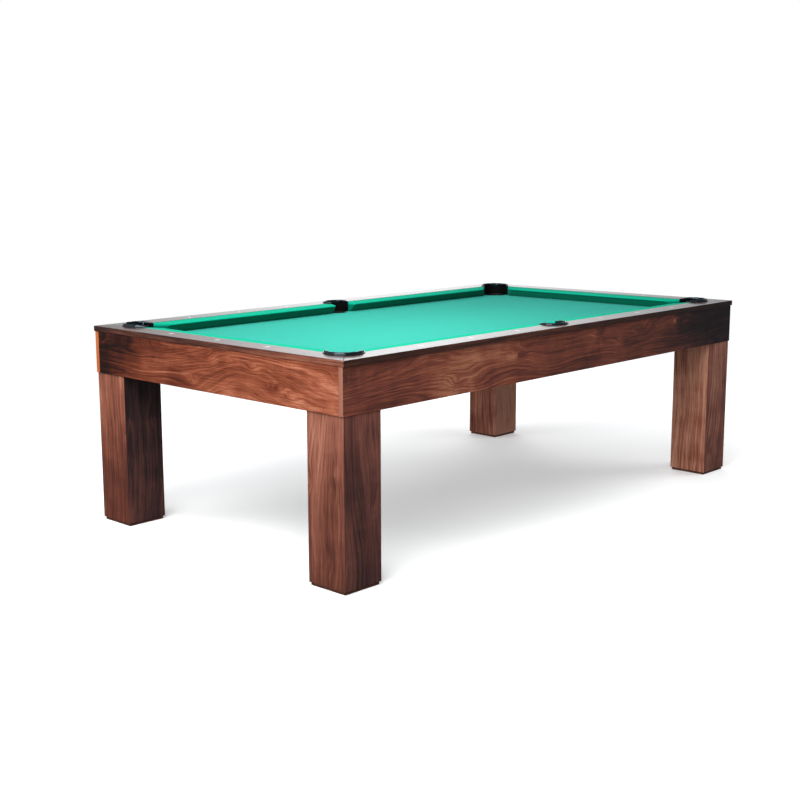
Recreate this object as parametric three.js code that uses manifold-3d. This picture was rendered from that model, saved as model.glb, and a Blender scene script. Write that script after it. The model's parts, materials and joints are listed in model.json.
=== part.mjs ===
// Eight-foot pool table: a three-piece slate bed on a box frame, four column legs with
// levelling feet, six rails with rubber cushions, and six drop pockets.
//
// Millimetres, +Z up. The origin is on the floor under the middle of the table. +X runs along
// the table from its head end to its foot end, and +Y runs across it from front to back.
//
// Most pieces are drawn once, in the quarter of the table where x and y are negative (front,
// head), and copied to the other quarters by mirroring.

import * as THREE from "three";
import { mergeVertices } from "three/addons/utils/BufferGeometryUtils.js";
import Module from "manifold-3d";

// ---- Driving dimensions ----------------------------------------------------------------------

const PLAY_LENGTH = 2235.2; // between cushion noses: 88 inches
const PLAY_WIDTH = 1117.6; // 44 inches
const TABLE_HEIGHT = 809; // floor to the top of the rails
const GAP = 0.3; // left between pieces that touch

// Rails: a flat top board over a narrower rail block, in one piece
const RAIL_WOOD = 97; // width of the wood, from the outer edge to the cushion
const CUSHION_WIDTH = 65.4; // from the wood to the nose
const RAIL_BOARD = 22; // thickness of the edge that shows
const RAIL_DROP = 44; // from the rail top down to the cloth

// Cushions: a rubber with its nose above the cloth, cut back underneath
const NOSE_HEIGHT = 36.5; // above the cloth
const NOSE_TIP = 1; // depth of the nose's blunt tip
const NOSE_ROUND = 5; // depth of the rounding over the nose
const NOSE_RISE = 3.6; // from the nose up to the top's edge
const CUSHION_FOOT = 38; // width of the underside that lies on the cloth
const CUSHION_SET_DOWN = 0.5; // of the top's back edge below the rail top

// Bed
const CLOTH = 1;
const SLATE = 25.4;
const SLATE_INSET = 30; // from the table's outer edge to the slate's edge
const SLATE_COUNT = 3;

// Aprons
const APRON = 21; // thickness
const APRON_BOTTOM = 619; // height of the lower edge above the floor
const SIDE_OVERHANG = 6.6; // of the rail over the long aprons
const END_OVERHANG = 1.9; // of the rail over the end aprons

// Frame under the slate
const BEAM = 36; // thickness of the side and end beams
const CROSS_BEAM_WIDTH = 60;
const CENTRE_BEAM_WIDTH = 45;
const INNER_BEAM_HEIGHT = 100;

// Legs
const LEG = 178; // square
const LEG_WALL = 22;
const LEG_TOP = 30; // thickness of the closed top
const LEG_INSET_X = 4.5; // from the end apron's face
const LEG_INSET_Y = 3; // from the long apron's face

// Stud plate that holds a leg to the frame
const STUD_PLATE = 6; // thickness
const STUD_RADIUS = 6;
const STUD_REACH = 60; // above the leg's top, into the frame
const HOLE_CLEARANCE = 0.5; // around studs and screws
const STUD_NEAR = 62; // first stud, from the table's outer end
const STUD_FAR = 132; // the other studs

// Levelling foot
const FOOT_HEIGHT = 12;
const FOOT_INSET = 5.4; // from the leg's faces
const FOOT_EDGE = 1.5; // chamfer
const SCREW_RADIUS = 8;
const SCREW_TOP = 96; // height of the screw's top above the floor
const SCREW_CHAMFER = 1;
const SWIVEL_RADIUS = 14; // flange of the screw, held in the foot
const SWIVEL_BOTTOM = 4.3;
const SWIVEL_TOP = 9;
const NUT_RADIUS = 15; // across corners
const NUT_SIDES = 6;
const NUT_TOP = 62;
const LEVEL_PLATE = 6; // thickness
const LEVEL_PLATE_BOTTOM = 16; // above the floor

// Pockets. Depth is from the table's outer edge to the pocket's centre: along the diagonal
// from the outer corner at the corners, and square to the rail at the sides. Arm is how far
// the casting runs on from there, crown its height above the rail, mouth the width between
// the cushion noses, and facing the angle in degrees of a cushion's end to its nose.
const CORNER = { depth: 189, radius: 59, arm: 43.5, crown: 11, mouth: 150, facing: 33 };
const SIDE = { depth: 98, radius: 50.5, arm: 24, crown: 8, mouth: 126, facing: 76 };
const CASTING_WALL = 4; // liner wall between the rails
const CASTING_FLANGE = 14.5; // width of the ring that lies on the rail
const CASTING_EDGE = 3; // flange thickness at its edge
const CASTING_TIP = 4; // height of the arms' tips above the rail top
const DOME_POINTS = 6; // steps across the flange's dome
const CLEAR = 1; // that a cutting tool runs past the piece it cuts
const BUCKET_WALL = 4;
const BUCKET_ROOM = 1; // that a bucket is wider than its casting, in radius
const BUCKET_FLOOR = 630; // height of the underside above the floor
const BUCKET_FLOOR_THICKNESS = 5;
const ARC_SEGMENTS = 32; // in a full circle of a pocket
const BOLT_SEGMENTS = 16; // in a full circle of a stud, screw or nut
const GRID = 1e-4; // that every corner is rounded to

// ---- Worked-out values -----------------------------------------------------------------------

const RAIL_TOTAL = RAIL_WOOD + CUSHION_WIDTH;
const LENGTH = PLAY_LENGTH + 2 * RAIL_TOTAL;
const WIDTH = PLAY_WIDTH + 2 * RAIL_TOTAL;
const END = -LENGTH / 2; // x of the head end's outer edge
const FRONT = -WIDTH / 2; // y of the front's outer edge

const CLOTH_TOP = TABLE_HEIGHT - RAIL_DROP;
const SLATE_TOP = CLOTH_TOP - CLOTH - GAP;
const SLATE_BOTTOM = SLATE_TOP - SLATE;
const FRAME_TOP = SLATE_BOTTOM - GAP;
const FRAME_BOTTOM = APRON_BOTTOM;
const BOARD_BOTTOM = TABLE_HEIGHT - RAIL_BOARD;

const APRON_END = END + END_OVERHANG; // x of the end apron's outer face
const APRON_FRONT = FRONT + SIDE_OVERHANG; // y of the long apron's outer face
const FRAME_END = APRON_END + APRON + GAP;
const FRAME_FRONT = APRON_FRONT + APRON + GAP;

const SLATE_END = END + SLATE_INSET;
const SLATE_FRONT = FRONT + SLATE_INSET;
const SLATE_PIECE = (-2 * SLATE_END) / SLATE_COUNT;
const SLATE_JOINT = SLATE_END + SLATE_PIECE; // x of the joint nearest the head end

const LEG_X = APRON_END + LEG_INSET_X; // outer faces of the leg
const LEG_Y = APRON_FRONT + LEG_INSET_Y;
const LEG_CENTRE_X = LEG_X + LEG / 2;
const LEG_CENTRE_Y = LEG_Y + LEG / 2;
const LEG_BOTTOM = FOOT_HEIGHT + GAP;
const LEG_HEIGHT_TOP = APRON_BOTTOM - GAP;
const LEG_ROOM = LEG / 2 - LEG_WALL; // half of the hollow's side
const LEG_CEILING = LEG_HEIGHT_TOP - LEG_TOP;

const BUCKET_RIM = CLOTH_TOP - GAP;

const OVER_ALL = 2 * TABLE_HEIGHT; // above any piece, for a plan that cuts through them all

// Signs that leave an axis as it is, or turn it round
const SAME = 1;
const OPPOSITE = -1;

// ---- Solids ----------------------------------------------------------------------------------

const wasm = await Module();
wasm.setup();

// Points that should lie on one plane do so exactly, once they are on this grid
function snapped(value) {
  return Math.round(value / GRID) * GRID;
}

function solidOf(geometry) {
  const bare = geometry.clone();
  bare.deleteAttribute("normal");
  bare.deleteAttribute("uv");
  const merged = mergeVertices(bare, GRID);
  const vertProperties = new Float32Array(merged.attributes.position.array.map(snapped));
  const triVerts = new Uint32Array(merged.index.array);
  return new wasm.Manifold(new wasm.Mesh({ numProp: 3, vertProperties, triVerts }));
}

function geometryOf(solid) {
  const { vertProperties, triVerts } = solid.getMesh();
  const geometry = new THREE.BufferGeometry();
  geometry.setAttribute("position", new THREE.BufferAttribute(vertProperties, 3));
  geometry.setIndex(new THREE.BufferAttribute(triVerts, 1));
  geometry.computeVertexNormals();
  return geometry;
}

function cut(geometry, ...tools) {
  const start = solidOf(geometry);
  return geometryOf(tools.reduce((solid, tool) => solid.subtract(solidOf(tool)), start));
}

function join(geometry, ...others) {
  const start = solidOf(geometry);
  return geometryOf(others.reduce((solid, other) => solid.add(solidOf(other)), start));
}

function common(geometry, other) {
  return geometryOf(solidOf(geometry).intersect(solidOf(other)));
}

function block(xMin, xMax, yMin, yMax, zMin, zMax) {
  const geometry = new THREE.BoxGeometry(xMax - xMin, yMax - yMin, zMax - zMin);
  return geometry.translate((xMin + xMax) / 2, (yMin + yMax) / 2, (zMin + zMax) / 2);
}

// An upright cylinder
function rod(radius, zMin, zMax, x, y, segments = BOLT_SEGMENTS) {
  const geometry = new THREE.CylinderGeometry(radius, radius, zMax - zMin, segments);
  return geometry.rotateX(Math.PI / 2).translate(x, y, (zMin + zMax) / 2);
}

// A flat piece with the given plan
function slab(shape, zMin, zMax) {
  const geometry = new THREE.ExtrudeGeometry(shape, {
    depth: zMax - zMin,
    bevelEnabled: false,
    curveSegments: ARC_SEGMENTS / 2,
  });
  return geometry.translate(0, 0, zMin);
}

function shapeOf(points) {
  return new THREE.Shape(points.map(([x, y]) => new THREE.Vector2(x, y)));
}

// A section, drawn as distance in from the outer edge and height, run along the front of the
// table or along its head end
function alongFront(section) {
  const geometry = new THREE.ExtrudeGeometry(section, { depth: LENGTH, bevelEnabled: false });
  const turn = new THREE.Matrix4().makeBasis(
    new THREE.Vector3(0, 1, 0),
    new THREE.Vector3(0, 0, 1),
    new THREE.Vector3(1, 0, 0),
  );
  return geometry.applyMatrix4(turn).translate(END, FRONT, 0);
}

function alongHead(section) {
  const geometry = new THREE.ExtrudeGeometry(section, { depth: WIDTH, bevelEnabled: false });
  const turn = new THREE.Matrix4().makeBasis(
    new THREE.Vector3(1, 0, 0),
    new THREE.Vector3(0, 0, 1),
    new THREE.Vector3(0, -1, 0),
  );
  return geometry.applyMatrix4(turn).translate(END, -FRONT, 0);
}

// A mirrored copy, with its triangles turned round again so that they still face out
function mirrored(geometry, signX, signY) {
  const copy = mergeVertices(geometry).scale(signX, signY, 1);
  if (signX * signY > 0) {
    return copy;
  }
  for (let i = 0; i < copy.index.count; i += 3) {
    const first = copy.index.getX(i);
    copy.index.setX(i, copy.index.getX(i + 1));
    copy.index.setX(i + 1, first);
  }
  copy.computeVertexNormals();
  return copy;
}

// ---- The group of named pieces ---------------------------------------------------------------

const WALNUT = { color: 0x7c4733, roughness: 0.42, metalness: 0 };
const DARK_WALNUT = { color: 0x5f382c, roughness: 0.38, metalness: 0 };
const PLYWOOD = { color: 0xb08a5b, roughness: 0.75, metalness: 0 };
const STONE = { color: 0x4c5257, roughness: 0.85, metalness: 0 };
const GREEN_CLOTH = { color: 0x2fb89a, roughness: 0.95, metalness: 0 };
const CUSHION_CLOTH = { color: 0x1fa588, roughness: 0.95, metalness: 0 };
const BLACK_CASTING = { color: 0x0c0f12, roughness: 0.18, metalness: 0 };
const BLACK_PLASTIC = { color: 0x131416, roughness: 0.6, metalness: 0 };
const BROWN_PLASTIC = { color: 0x3a241c, roughness: 0.6, metalness: 0 };
const STEEL = { color: 0x9b9ea1, roughness: 0.4, metalness: 1 };

const table = new THREE.Group();

function add(name, geometry, finish) {
  const mesh = new THREE.Mesh(geometry, new THREE.MeshStandardMaterial(finish));
  mesh.name = name;
  table.add(mesh);
}

const QUARTERS = [
  ["front_head", SAME, SAME],
  ["front_foot", OPPOSITE, SAME],
  ["back_head", SAME, OPPOSITE],
  ["back_foot", OPPOSITE, OPPOSITE],
];
const SIDES = [
  ["front", SAME, SAME],
  ["back", SAME, OPPOSITE],
];
const ENDS = [
  ["head", SAME, SAME],
  ["foot", OPPOSITE, SAME],
];

function addCopies(name, geometry, finish, places) {
  for (const [place, signX, signY] of places) {
    add(`${name}_${place}`, mirrored(geometry, signX, signY), finish);
  }
}

// ---- Pocket outlines -------------------------------------------------------------------------

// Puts a shape drawn about a pocket's centre, with +Y towards the playing field, in its place
function atCorner(geometry) {
  const along = CORNER.depth / Math.SQRT2;
  return geometry.rotateZ(-Math.PI / 4).translate(END + along, FRONT + along, 0);
}

function atSide(geometry) {
  return geometry.translate(0, FRONT + SIDE.depth, 0);
}

// A U with its round end at -Y and its arms reaching to +Y
function uShape(radius, reach) {
  const shape = new THREE.Shape();
  shape.moveTo(-radius, reach);
  shape.lineTo(-radius, 0);
  shape.absarc(0, 0, radius, Math.PI, 2 * Math.PI, false);
  shape.lineTo(radius, reach);
  return shape;
}

// Room for the casting's liner, through the rails and the cushion ends
function linerRoom(pocket) {
  const radius = pocket.radius + CASTING_WALL + GAP;
  return slab(uShape(radius, pocket.arm + GAP), CLOTH_TOP - GAP, OVER_ALL);
}

// Notch through the slate and the cloth, round towards the field and open to the outer edge
function bedNotch(pocket) {
  const radius = pocket.radius + BUCKET_ROOM + BUCKET_WALL + GAP;
  const notch = slab(uShape(radius, pocket.depth), SLATE_BOTTOM - GAP, CLOTH_TOP + GAP);
  return notch.rotateZ(Math.PI);
}

// ---- Rails -----------------------------------------------------------------------------------

const MITRE_SHIFT = GAP / Math.SQRT2;

function railSection() {
  const blockStart = SIDE_OVERHANG + APRON + GAP;
  const blockBottom = CLOTH_TOP + GAP;
  return shapeOf([
    [0, BOARD_BOTTOM],
    [blockStart, BOARD_BOTTOM],
    [blockStart, blockBottom],
    [RAIL_WOOD, blockBottom],
    [RAIL_WOOD, TABLE_HEIGHT],
    [0, TABLE_HEIGHT],
  ]);
}

function sideRail() {
  const plan = shapeOf([
    [END + MITRE_SHIFT, FRONT],
    [-GAP / 2, FRONT],
    [-GAP / 2, FRONT + RAIL_WOOD],
    [END + RAIL_WOOD + MITRE_SHIFT, FRONT + RAIL_WOOD],
  ]);
  const whole = common(alongFront(railSection()), slab(plan, 0, OVER_ALL));
  return cut(whole, atCorner(linerRoom(CORNER)), atSide(linerRoom(SIDE)));
}

function endRail() {
  const plan = shapeOf([
    [END, FRONT + MITRE_SHIFT],
    [END + RAIL_WOOD, FRONT + RAIL_WOOD + MITRE_SHIFT],
    [END + RAIL_WOOD, -FRONT - RAIL_WOOD - MITRE_SHIFT],
    [END, -FRONT - MITRE_SHIFT],
  ]);
  const whole = common(alongHead(railSection()), slab(plan, 0, OVER_ALL));
  const room = atCorner(linerRoom(CORNER));
  return cut(whole, room, mirrored(room, SAME, OPPOSITE));
}

addCopies("rail", sideRail(), DARK_WALNUT, QUARTERS);
addCopies("rail", endRail(), DARK_WALNUT, ENDS);

// ---- Cushions --------------------------------------------------------------------------------

// Top sloping down to a rounded nose, then cut back underneath to the rail's foot
function cushionSection() {
  const start = RAIL_WOOD + GAP;
  const nose = RAIL_TOTAL;
  const noseZ = CLOTH_TOP + NOSE_HEIGHT;
  const bottom = CLOTH_TOP + 2 * GAP;
  return shapeOf([
    [start, bottom],
    [start + CUSHION_FOOT, bottom],
    [nose - NOSE_ROUND, noseZ - NOSE_ROUND],
    [nose - NOSE_TIP, noseZ - 2 * NOSE_TIP],
    [nose, noseZ],
    [nose - NOSE_TIP, noseZ + 2 * NOSE_TIP],
    [nose - NOSE_ROUND, noseZ + NOSE_RISE],
    [start, TABLE_HEIGHT - CUSHION_SET_DOWN],
  ]);
}

// How far a cushion's end runs on towards its pocket between the nose and the wood
function facingRun(pocket) {
  return CUSHION_WIDTH / Math.tan(THREE.MathUtils.degToRad(pocket.facing));
}

// From the outer edge to the end of a cushion's nose at a corner
const CORNER_NOSE = RAIL_TOTAL + CORNER.mouth / Math.SQRT2;

function sideCushion() {
  const wood = FRONT + RAIL_WOOD;
  const nose = FRONT + RAIL_TOTAL;
  const plan = shapeOf([
    [END + CORNER_NOSE - facingRun(CORNER), wood],
    [-SIDE.mouth / 2 + facingRun(SIDE), wood],
    [-SIDE.mouth / 2, nose],
    [END + CORNER_NOSE, nose],
  ]);
  const whole = common(alongFront(cushionSection()), slab(plan, 0, OVER_ALL));
  return cut(whole, atCorner(linerRoom(CORNER)), atSide(linerRoom(SIDE)));
}

function endCushion() {
  const wood = END + RAIL_WOOD;
  const nose = END + RAIL_TOTAL;
  const plan = shapeOf([
    [wood, FRONT + CORNER_NOSE - facingRun(CORNER)],
    [nose, FRONT + CORNER_NOSE],
    [nose, -FRONT - CORNER_NOSE],
    [wood, -FRONT - CORNER_NOSE + facingRun(CORNER)],
  ]);
  const whole = common(alongHead(cushionSection()), slab(plan, 0, OVER_ALL));
  const room = atCorner(linerRoom(CORNER));
  return cut(whole, room, mirrored(room, SAME, OPPOSITE));
}

addCopies("cushion", sideCushion(), CUSHION_CLOTH, QUARTERS);
addCopies("cushion", endCushion(), CUSHION_CLOTH, ENDS);

// ---- Pocket castings -------------------------------------------------------------------------

// Liner wall with a domed flange on top, as radius and height above the rail top. The dome's
// points are shares of the flange's width and of the crown.
function castingProfile({ radius, crown }) {
  const outer = radius + CASTING_FLANGE;
  const dome = new THREE.SplineCurve([
    new THREE.Vector2(outer, CASTING_EDGE),
    new THREE.Vector2(outer - CASTING_FLANGE * 0.35, crown * 0.7),
    new THREE.Vector2(outer - CASTING_FLANGE * 0.65, crown),
    new THREE.Vector2(radius, crown * 0.6),
  ]);
  return [
    new THREE.Vector2(radius, GAP - RAIL_DROP),
    new THREE.Vector2(radius + CASTING_WALL, GAP - RAIL_DROP),
    new THREE.Vector2(radius + CASTING_WALL, GAP),
    new THREE.Vector2(outer, GAP),
    ...dome.getPoints(DOME_POINTS),
  ];
}

// What slopes the arms down from the crown to their tips
function armTaper({ arm, crown, radius }) {
  const profile = shapeOf([
    [0, crown],
    [-arm - CLEAR, CASTING_TIP],
    [-arm - CLEAR, crown + CLEAR],
    [0, crown + CLEAR],
  ]);
  const width = 2 * (radius + CASTING_FLANGE + CLEAR);
  const wedge = new THREE.ExtrudeGeometry(profile, { depth: width, bevelEnabled: false });
  return wedge.rotateX(Math.PI / 2).rotateZ(-Math.PI / 2).translate(width / 2, 0, 0);
}

function casting(pocket) {
  const profile = castingProfile(pocket);
  const reach = pocket.radius + CASTING_FLANGE + CLEAR;
  const ring = new THREE.LatheGeometry([...profile, profile[0]], ARC_SEGMENTS);
  ring.rotateX(Math.PI / 2);
  const fieldHalf = block(-reach, reach, 0, reach, -RAIL_DROP, RAIL_DROP);
  const arm = new THREE.ExtrudeGeometry(new THREE.Shape(profile), {
    depth: pocket.arm,
    bevelEnabled: false,
  });
  arm.rotateX(Math.PI / 2).translate(0, pocket.arm, 0);
  const whole = join(cut(ring, fieldHalf), arm, mirrored(arm, OPPOSITE, SAME));
  return cut(whole, armTaper(pocket)).translate(0, 0, TABLE_HEIGHT);
}

addCopies("pocket_casting", atCorner(casting(CORNER)), BLACK_CASTING, QUARTERS);
addCopies("pocket_casting", atSide(casting(SIDE)), BLACK_CASTING, SIDES);

// ---- Pocket buckets --------------------------------------------------------------------------

// A cup whose wall stands up to the casting at the back, and stops under the slate towards
// the field
function bucket(pocket) {
  const inner = pocket.radius + BUCKET_ROOM;
  const outer = inner + BUCKET_WALL;
  const cup = new THREE.LatheGeometry(
    [
      new THREE.Vector2(0, BUCKET_FLOOR),
      new THREE.Vector2(outer, BUCKET_FLOOR),
      new THREE.Vector2(outer, BUCKET_RIM),
      new THREE.Vector2(inner, BUCKET_RIM),
      new THREE.Vector2(inner, BUCKET_FLOOR + BUCKET_FLOOR_THICKNESS),
      new THREE.Vector2(0, BUCKET_FLOOR + BUCKET_FLOOR_THICKNESS),
    ],
    ARC_SEGMENTS,
  );
  cup.rotateX(Math.PI / 2);
  const reach = outer + CLEAR;
  return cut(cup, block(-reach, reach, 0, reach, FRAME_TOP, BUCKET_RIM + CLEAR));
}

addCopies("pocket_bucket", atCorner(bucket(CORNER)), BLACK_PLASTIC, QUARTERS);
addCopies("pocket_bucket", atSide(bucket(SIDE)), BLACK_PLASTIC, SIDES);

// ---- Bed -------------------------------------------------------------------------------------

function cornerNotches() {
  const notch = atCorner(bedNotch(CORNER));
  return QUARTERS.map(([, signX, signY]) => mirrored(notch, signX, signY));
}

function sideNotches() {
  const notch = atSide(bedNotch(SIDE));
  return SIDES.map(([, signX, signY]) => mirrored(notch, signX, signY));
}

function slateBlank(xMin, xMax) {
  return block(xMin, xMax, SLATE_FRONT, -SLATE_FRONT, SLATE_BOTTOM, SLATE_TOP);
}

const clothBlank = block(
  SLATE_END, -SLATE_END,
  SLATE_FRONT, -SLATE_FRONT,
  CLOTH_TOP - CLOTH, CLOTH_TOP,
);
const endSlateBlank = slateBlank(SLATE_END, SLATE_JOINT - GAP / 2);
const middleSlateBlank = slateBlank(SLATE_JOINT + GAP / 2, -SLATE_JOINT - GAP / 2);

add("bed_cloth", cut(clothBlank, ...cornerNotches(), ...sideNotches()), GREEN_CLOTH);
add("slate_middle", cut(middleSlateBlank, ...sideNotches()), STONE);
addCopies("slate", cut(endSlateBlank, ...cornerNotches()), STONE, ENDS);

// ---- Aprons ----------------------------------------------------------------------------------

const APRON_TOP = BOARD_BOTTOM - GAP;
const longApron = block(
  APRON_END, -APRON_END,
  APRON_FRONT, APRON_FRONT + APRON,
  APRON_BOTTOM, APRON_TOP,
);
const endApron = block(
  APRON_END, APRON_END + APRON,
  APRON_FRONT + APRON + GAP, -APRON_FRONT - APRON - GAP,
  APRON_BOTTOM, APRON_TOP,
);
addCopies("apron", longApron, WALNUT, SIDES);
addCopies("apron", endApron, WALNUT, ENDS);

// ---- Legs and their stud plates --------------------------------------------------------------

// Two studs go up into the side beam and one into the end beam
const STUDS = [
  [END + STUD_NEAR, FRAME_FRONT + BEAM / 2],
  [END + STUD_FAR, FRAME_FRONT + BEAM / 2],
  [FRAME_END + BEAM / 2, FRONT + STUD_FAR],
];

function studs(radius) {
  const bottom = LEG_CEILING - STUD_PLATE;
  return STUDS.map(([x, y]) => rod(radius, bottom, LEG_HEIGHT_TOP + STUD_REACH, x, y));
}

function leg() {
  const outer = block(LEG_X, LEG_X + LEG, LEG_Y, LEG_Y + LEG, LEG_BOTTOM, LEG_HEIGHT_TOP);
  const hollow = block(
    LEG_CENTRE_X - LEG_ROOM, LEG_CENTRE_X + LEG_ROOM,
    LEG_CENTRE_Y - LEG_ROOM, LEG_CENTRE_Y + LEG_ROOM,
    LEG_BOTTOM - CLEAR, LEG_CEILING,
  );
  return cut(outer, hollow, ...studs(STUD_RADIUS + HOLE_CLEARANCE));
}

function studPlate() {
  const half = LEG_ROOM - HOLE_CLEARANCE;
  const plate = block(
    LEG_CENTRE_X - half, LEG_CENTRE_X + half,
    LEG_CENTRE_Y - half, LEG_CENTRE_Y + half,
    LEG_CEILING - GAP - STUD_PLATE, LEG_CEILING - GAP,
  );
  return join(plate, ...studs(STUD_RADIUS));
}

addCopies("leg", leg(), WALNUT, QUARTERS);
addCopies("leg_stud_plate", studPlate(), STEEL, QUARTERS);

// ---- Frame -----------------------------------------------------------------------------------

function sideBeam() {
  const beam = block(
    FRAME_END, -FRAME_END,
    FRAME_FRONT, FRAME_FRONT + BEAM,
    FRAME_BOTTOM, FRAME_TOP,
  );
  const bucketRoom = rod(
    SIDE.radius + BUCKET_ROOM + BUCKET_WALL + 2 * GAP,
    FRAME_BOTTOM - CLEAR, FRAME_TOP + CLEAR,
    0, FRONT + SIDE.depth,
    ARC_SEGMENTS,
  );
  const holes = studs(STUD_RADIUS + HOLE_CLEARANCE);
  const farHoles = holes.map((hole) => mirrored(hole, OPPOSITE, SAME));
  return cut(beam, bucketRoom, ...holes, ...farHoles);
}

function endBeam() {
  const yMin = FRAME_FRONT + BEAM + GAP;
  const beam = block(FRAME_END, FRAME_END + BEAM, yMin, -yMin, FRAME_BOTTOM, FRAME_TOP);
  const holes = studs(STUD_RADIUS + HOLE_CLEARANCE);
  const farHoles = holes.map((hole) => mirrored(hole, SAME, OPPOSITE));
  return cut(beam, ...holes, ...farHoles);
}

// The centre beam runs the length of the frame, and is halved into the two cross beams, which
// carry the slate joints
const HALF_LAP = FRAME_TOP - INNER_BEAM_HEIGHT / 2;

function crossBeam() {
  const yMin = FRAME_FRONT + BEAM + GAP;
  const half = CROSS_BEAM_WIDTH / 2;
  const notchHalf = CENTRE_BEAM_WIDTH / 2 + GAP;
  const beam = block(
    SLATE_JOINT - half, SLATE_JOINT + half, yMin, -yMin, FRAME_TOP - INNER_BEAM_HEIGHT, FRAME_TOP,
  );
  const notch = block(
    SLATE_JOINT - CROSS_BEAM_WIDTH, SLATE_JOINT + CROSS_BEAM_WIDTH,
    -notchHalf, notchHalf,
    HALF_LAP - GAP / 2, FRAME_TOP + CLEAR,
  );
  return cut(beam, notch);
}

function centreBeam() {
  const xMin = FRAME_END + BEAM + GAP;
  const half = CENTRE_BEAM_WIDTH / 2;
  const notchHalf = CROSS_BEAM_WIDTH / 2 + GAP;
  const beam = block(xMin, -xMin, -half, half, FRAME_TOP - INNER_BEAM_HEIGHT, FRAME_TOP);
  const notch = block(
    SLATE_JOINT - notchHalf, SLATE_JOINT + notchHalf,
    -CENTRE_BEAM_WIDTH, CENTRE_BEAM_WIDTH,
    FRAME_TOP - INNER_BEAM_HEIGHT - CLEAR, HALF_LAP + GAP / 2,
  );
  return cut(beam, notch, mirrored(notch, OPPOSITE, SAME));
}

addCopies("frame_beam", sideBeam(), PLYWOOD, SIDES);
addCopies("frame_beam", endBeam(), PLYWOOD, ENDS);
addCopies("cross_beam", crossBeam(), PLYWOOD, ENDS);
add("centre_beam", centreBeam(), PLYWOOD);

// ---- Levelling feet --------------------------------------------------------------------------

// A plate in the leg's bottom carries a nut. The screw turns in it, and its flange turns in a
// pocket of the square foot, so that the foot moves up and down without turning.

function levelPlate() {
  const half = LEG_ROOM - HOLE_CLEARANCE;
  const top = LEVEL_PLATE_BOTTOM + LEVEL_PLATE;
  const plate = block(
    LEG_CENTRE_X - half, LEG_CENTRE_X + half,
    LEG_CENTRE_Y - half, LEG_CENTRE_Y + half,
    LEVEL_PLATE_BOTTOM, top,
  );
  const nut = rod(NUT_RADIUS, top - CLEAR, NUT_TOP, LEG_CENTRE_X, LEG_CENTRE_Y, NUT_SIDES);
  const bore = rod(
    SCREW_RADIUS + HOLE_CLEARANCE,
    LEVEL_PLATE_BOTTOM - CLEAR, NUT_TOP + CLEAR,
    LEG_CENTRE_X, LEG_CENTRE_Y,
  );
  return cut(join(plate, nut), bore);
}

function levelScrew() {
  const profile = [
    [0, SWIVEL_BOTTOM],
    [SWIVEL_RADIUS, SWIVEL_BOTTOM],
    [SWIVEL_RADIUS, SWIVEL_TOP],
    [SCREW_RADIUS, SWIVEL_TOP],
    [SCREW_RADIUS, SCREW_TOP - SCREW_CHAMFER],
    [SCREW_RADIUS - SCREW_CHAMFER, SCREW_TOP],
    [0, SCREW_TOP],
  ];
  const points = profile.map(([radius, z]) => new THREE.Vector2(radius, z));
  const screw = new THREE.LatheGeometry(points, BOLT_SEGMENTS);
  return screw.rotateX(Math.PI / 2).translate(LEG_CENTRE_X, LEG_CENTRE_Y, 0);
}

function foot() {
  const half = LEG / 2 - FOOT_INSET;
  const plan = [[-half, -half], [half, -half], [half, half], [-half, half]];
  const lower = half - FOOT_EDGE;
  const inner = plan.map(([x, y]) => [(x / half) * lower, (y / half) * lower]);
  const pad = new THREE.ExtrudeGeometry(shapeOf(inner), {
    depth: FOOT_HEIGHT - 2 * FOOT_EDGE,
    bevelEnabled: true,
    bevelThickness: FOOT_EDGE,
    bevelSize: FOOT_EDGE,
    bevelSegments: 1,
  });
  pad.translate(LEG_CENTRE_X, LEG_CENTRE_Y, FOOT_EDGE);
  const flangeRoom = rod(
    SWIVEL_RADIUS + GAP,
    SWIVEL_BOTTOM - GAP, SWIVEL_TOP + GAP,
    LEG_CENTRE_X, LEG_CENTRE_Y,
  );
  const neck = rod(
    SCREW_RADIUS + HOLE_CLEARANCE,
    SWIVEL_TOP, FOOT_HEIGHT + CLEAR,
    LEG_CENTRE_X, LEG_CENTRE_Y,
  );
  return cut(pad, flangeRoom, neck);
}

addCopies("level_plate", levelPlate(), STEEL, QUARTERS);
addCopies("level_screw", levelScrew(), STEEL, QUARTERS);
addCopies("foot", foot(), BROWN_PLASTIC, QUARTERS);

export default table;
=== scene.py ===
import json
import math

import bmesh
import bpy
from mathutils import Matrix, Vector

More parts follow.
